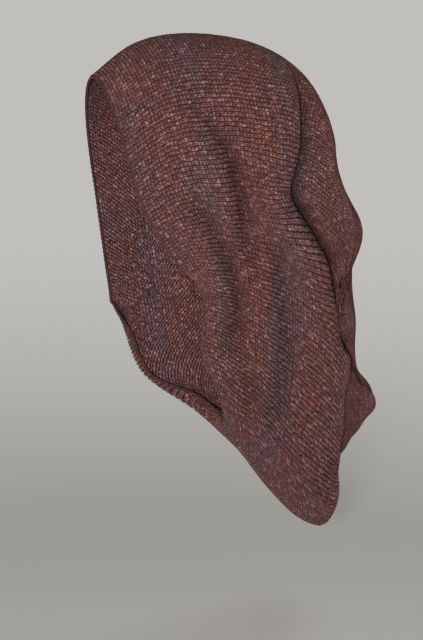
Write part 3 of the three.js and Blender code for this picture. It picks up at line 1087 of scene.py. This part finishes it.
class HAT_OT_knit_face(bpy.types.Operator):
    """Knit the outside of the hat, in six strips that meet in the valleys between wales"""

    bl_idname = "hat.knit_face"
    bl_label = "Knit face"

    def execute(self, context):
        sizes = context.scene.hat_sizes
        strip = sizes.wales // len(FACE_STRIPS)
        last_course = math.ceil(made["outside_courses"]) + 1
        made["face"] = []
        for k, name in enumerate(FACE_STRIPS):
            first = -sizes.wales // 2 + k * strip
            inputs = knit_inputs(sizes, made["outside"], first, first + strip, -1, last_course)
            piece = grown(name, made["tree"], inputs)
            made["face"].append(finish_piece(piece, "knit_bag"))
        return {"FINISHED"}


class HAT_OT_purl_side(bpy.types.Operator):
    """Knit the inside of the hat, where the backs of the stitches show"""

    bl_idname = "hat.purl_side"
    bl_label = "Purl side"

    def execute(self, context):
        sizes = context.scene.hat_sizes
        half = sizes.wales // 2
        last_course = math.ceil(made["inside_courses"]) + 1
        purl = {
            "Columns": 2,
            "Rows": 2,
            "Slant": 0.0,
            "Wale depth": 0.0,
            "Course depth": 0.0,
            "Purl depth": sizes.purl_depth,
        }
        made["inner"] = []
        for name, first, last in (("purl_front", 0, PURL_FRONT), ("purl_back", PURL_FRONT, last_course)):
            inputs = knit_inputs(sizes, made["inside"], half, -half, first, last, **purl)
            piece = grown(name, made["tree"], inputs)
            made["inner"].append(finish_piece(piece, "knit_bag"))
        return {"FINISHED"}


def mouth_frames(cloth, count):
    """Places on the rim of the mouth, with the ways out of the cloth, along the rim and away from it."""
    real = slice(FORM_OVERLAP, -FORM_OVERLAP - 1)
    outer, inner = cloth["outside"][real, 0], cloth["inside"][real, 0]
    columns = len(outer)
    place = (np.arange(count) + 0.5) / count * columns

    def at(points):
        return np.stack([np.interp(place, np.arange(columns), p, period=columns) for p in points.T], -1)

    outer, inner = at(outer), at(inner)
    middle = (outer + inner) / 2
    along = unit(np.roll(middle, -1, 0) - np.roll(middle, 1, 0))
    out = unit(outer - inner)
    away = unit(np.cross(along, out))
    return middle, out, along, away


def tube(rings):
    """Vertices and quads of a closed tube through rings of points."""
    count, sides = rings.shape[:2]
    faces = []
    for i in range(count):
        for k in range(sides):
            a, b = i * sides, (i + 1) % count * sides
            faces.append((a + k, a + (k + 1) % sides, b + (k + 1) % sides, b + k))
    return rings.reshape(-1, 3), faces


def link_mesh():
    """One link of the bound edge: a drop-shaped loop of yarn that climbs over the next."""
    angle = np.linspace(0, 2 * math.pi, LINK_STEPS, endpoint=False)
    x = LINK_LONG / 2 * np.cos(angle)
    y = LINK_WIDE / 2 * np.sin(angle) * (1 + LINK_TAPER * np.cos(angle))
    z = LINK_CLIMB * np.cos(angle)
    path = np.stack([x, y, z], -1)
    along = unit(np.roll(path, -1, 0) - np.roll(path, 1, 0))
    up = unit(np.array([0.0, 0.0, 1.0]) - along * along[:, 2:])
    side = np.cross(along, up)
    around = np.linspace(0, 2 * math.pi, LINK_SIDES, endpoint=False)[None, :, None]
    rings = path[:, None] + YARN_RADIUS * (up[:, None] * np.cos(around) + side[:, None] * np.sin(around))
    vertices, faces = tube(rings)
    mesh = bpy.data.meshes.new("edge_link")
    mesh.from_pydata(vertices * MM, [], faces)
    return mesh


class HAT_OT_bound_edge(bpy.types.Operator):
    """Chain the bound edge round the mouth, over the roll of yarn that it holds"""

    bl_idname = "hat.bound_edge"
    bl_label = "Bound edge"

    def execute(self, context):
        count = context.scene.hat_sizes.wales
        middle, out, along, away = mouth_frames(made["cloth"], count)
        core = middle + away * EDGE_OFFSET
        around = np.linspace(0, 2 * math.pi, EDGE_SIDES, endpoint=False)[None, :, None]
        rings = core[:, None] + EDGE_CORE * (away[:, None] * np.cos(around) + out[:, None] * np.sin(around))
        vertices, faces = tube(rings)
        mesh = bpy.data.meshes.new("edge_roll")
        mesh.from_pydata(vertices * MM, [], faces)
        mesh.materials.append(made["edge"])
        mesh.polygons.foreach_set("use_smooth", [True] * len(mesh.polygons))
        roll = finish_piece(new_object("edge_roll", mesh), "brim_edging")

        facing = unit(out * math.cos(EDGE_LEAN) + away * math.sin(EDGE_LEAN))
        spots = bpy.data.meshes.new("edge_places")
        spots.from_pydata((core + facing * EDGE_RISE) * MM, [], [])
        set_values(spots, "facing", "FLOAT_VECTOR", facing)
        set_values(spots, "along", "FLOAT_VECTOR", along)
        places = new_object("edge_places", spots)
        link = new_object("edge_link", link_mesh())
        chain = grown(
            "edge_chain",
            chain_tree(),
            {"Places": places, "Link": link, "Size": 1.0, "Material": made["edge"]},
        )
        drop(places, link)
        finish_piece(chain, "brim_edging")
        made["edging"] = [roll, chain]
        return {"FINISHED"}


class HAT_OT_cloth_facts(bpy.types.Operator):
    """Clear away the forms that the cloth was knitted on"""

    bl_idname = "hat.cloth_facts"
    bl_label = "Cloth facts"

    def execute(self, context):
        drop(made["outside"], made["inside"])
        return {"FINISHED"}


class HAT_OT_stage(bpy.types.Operator):
    """Set up the floor, the soft lights and the camera"""

    bl_idname = "hat.stage"
    bl_label = "Stage"

    def execute(self, context):
        settings = context.scene.hat_stage
        signs = ((-1, -1), (1, -1), (1, 1), (-1, 1))
        corners = [(x * FLOOR_REACH, y * FLOOR_REACH, settings.floor_height) for x, y in signs]
        mesh = bpy.data.meshes.new("floor")
        mesh.from_pydata(corners, [], [(0, 1, 2, 3)])
        mesh.materials.append(fading_floor(settings.floor))
        new_object("floor", mesh)

        world = bpy.data.worlds.new("studio")
        world.use_nodes = True
        nodes = Nodes(world.node_tree)
        _, _, height = nodes.parts(nodes.add("ShaderNodeTexCoord"))
        overhead = (height * CEILING_RISE - CEILING_START).above(0.0).below(1.0)
        around, above = settings.backdrop, settings.ceiling
        shade = nodes.mix_colour(overhead, (*around, 1.0), (*above, 1.0))
        glow = nodes.add("ShaderNodeBackground", values={"Color": shade, "Strength": 1.0})
        nodes.add("ShaderNodeOutputWorld", values={"Surface": glow})
        context.scene.world = world

        for name, (azimuth, elevation, distance, size) in LIGHTS.items():
            data = bpy.data.lights.new(name + "_light", "AREA")
            data.shape = "DISK"
            data.size = size
            data.energy = getattr(settings, name + "_power")
            lamp = bpy.data.objects.new(name + "_light", data)
            context.scene.collection.objects.link(lamp)
            back = direction(azimuth, elevation)
            lamp.location = Vector(LIGHT_TARGET) + back * distance
            lamp.rotation_euler = back.to_track_quat("Z", "Y").to_euler()

        azimuth = math.radians(CAMERA_AZIMUTH)
        back = direction(CAMERA_AZIMUTH, CAMERA_ELEVATION)
        right = Vector((math.cos(azimuth), math.sin(azimuth), 0.0))
        up = back.cross(right)
        data = bpy.data.cameras.new("camera")
        data.lens = CAMERA_LENS
        data.sensor_width = CAMERA_SENSOR
        camera = bpy.data.objects.new("camera", data)
        context.scene.collection.objects.link(camera)
        camera.matrix_world = Matrix.Translation(
            right * CAMERA_RIGHT + up * CAMERA_UP + back * CAMERA_DISTANCE
        ) @ Matrix((right, up, back)).transposed().to_4x4()
        context.scene.camera = camera
        return {"FINISHED"}


def direction(azimuth, elevation):
    """The way back from the object to someone who looks at it from these angles, in degrees."""
    a, e = math.radians(azimuth), math.radians(elevation)
    return Vector((math.sin(a) * math.cos(e), -math.cos(a) * math.cos(e), math.sin(e)))


class HAT_PT_panel(bpy.types.Panel):
    """Shows the settings of the hat and the buttons of the operators that make its pieces"""

    bl_idname = "HAT_PT_panel"
    bl_label = "Knit hat"
    bl_space_type = "VIEW_3D"
    bl_region_type = "UI"
    bl_category = "Knit Hat"

    def draw(self, context):
        scene = context.scene
        for group in (scene.hat_sizes, scene.hat_colours, scene.hat_stage):
            box = self.layout.box()
            for name in group.__annotations__:
                box.prop(group, name)
        for operator in OPERATORS:
            self.layout.operator(operator.bl_idname)


GROUPS = {"hat_sizes": HatSizes, "hat_colours": HatColours, "hat_stage": StageSettings}
OPERATORS = (
    HAT_OT_form,
    HAT_OT_knit_face,
    HAT_OT_purl_side,
    HAT_OT_bound_edge,
    HAT_OT_cloth_facts,
    HAT_OT_stage,
)


def register():
    for item in (*GROUPS.values(), *OPERATORS, HAT_PT_panel):
        bpy.utils.register_class(item)
    for name, group in GROUPS.items():
        setattr(bpy.types.Scene, name, PointerProperty(type=group))


def unregister():
    for name in GROUPS:
        delattr(bpy.types.Scene, name)
    for item in (HAT_PT_panel, *reversed(OPERATORS), *GROUPS.values()):
        bpy.utils.unregister_class(item)


def main():
    register()
    bpy.ops.hat.form()
    bpy.ops.hat.knit_face()
    bpy.ops.hat.purl_side()
    bpy.ops.hat.bound_edge()
    bpy.ops.hat.cloth_facts()
    bpy.ops.hat.stage()


if __name__ == "__main__":
    main()
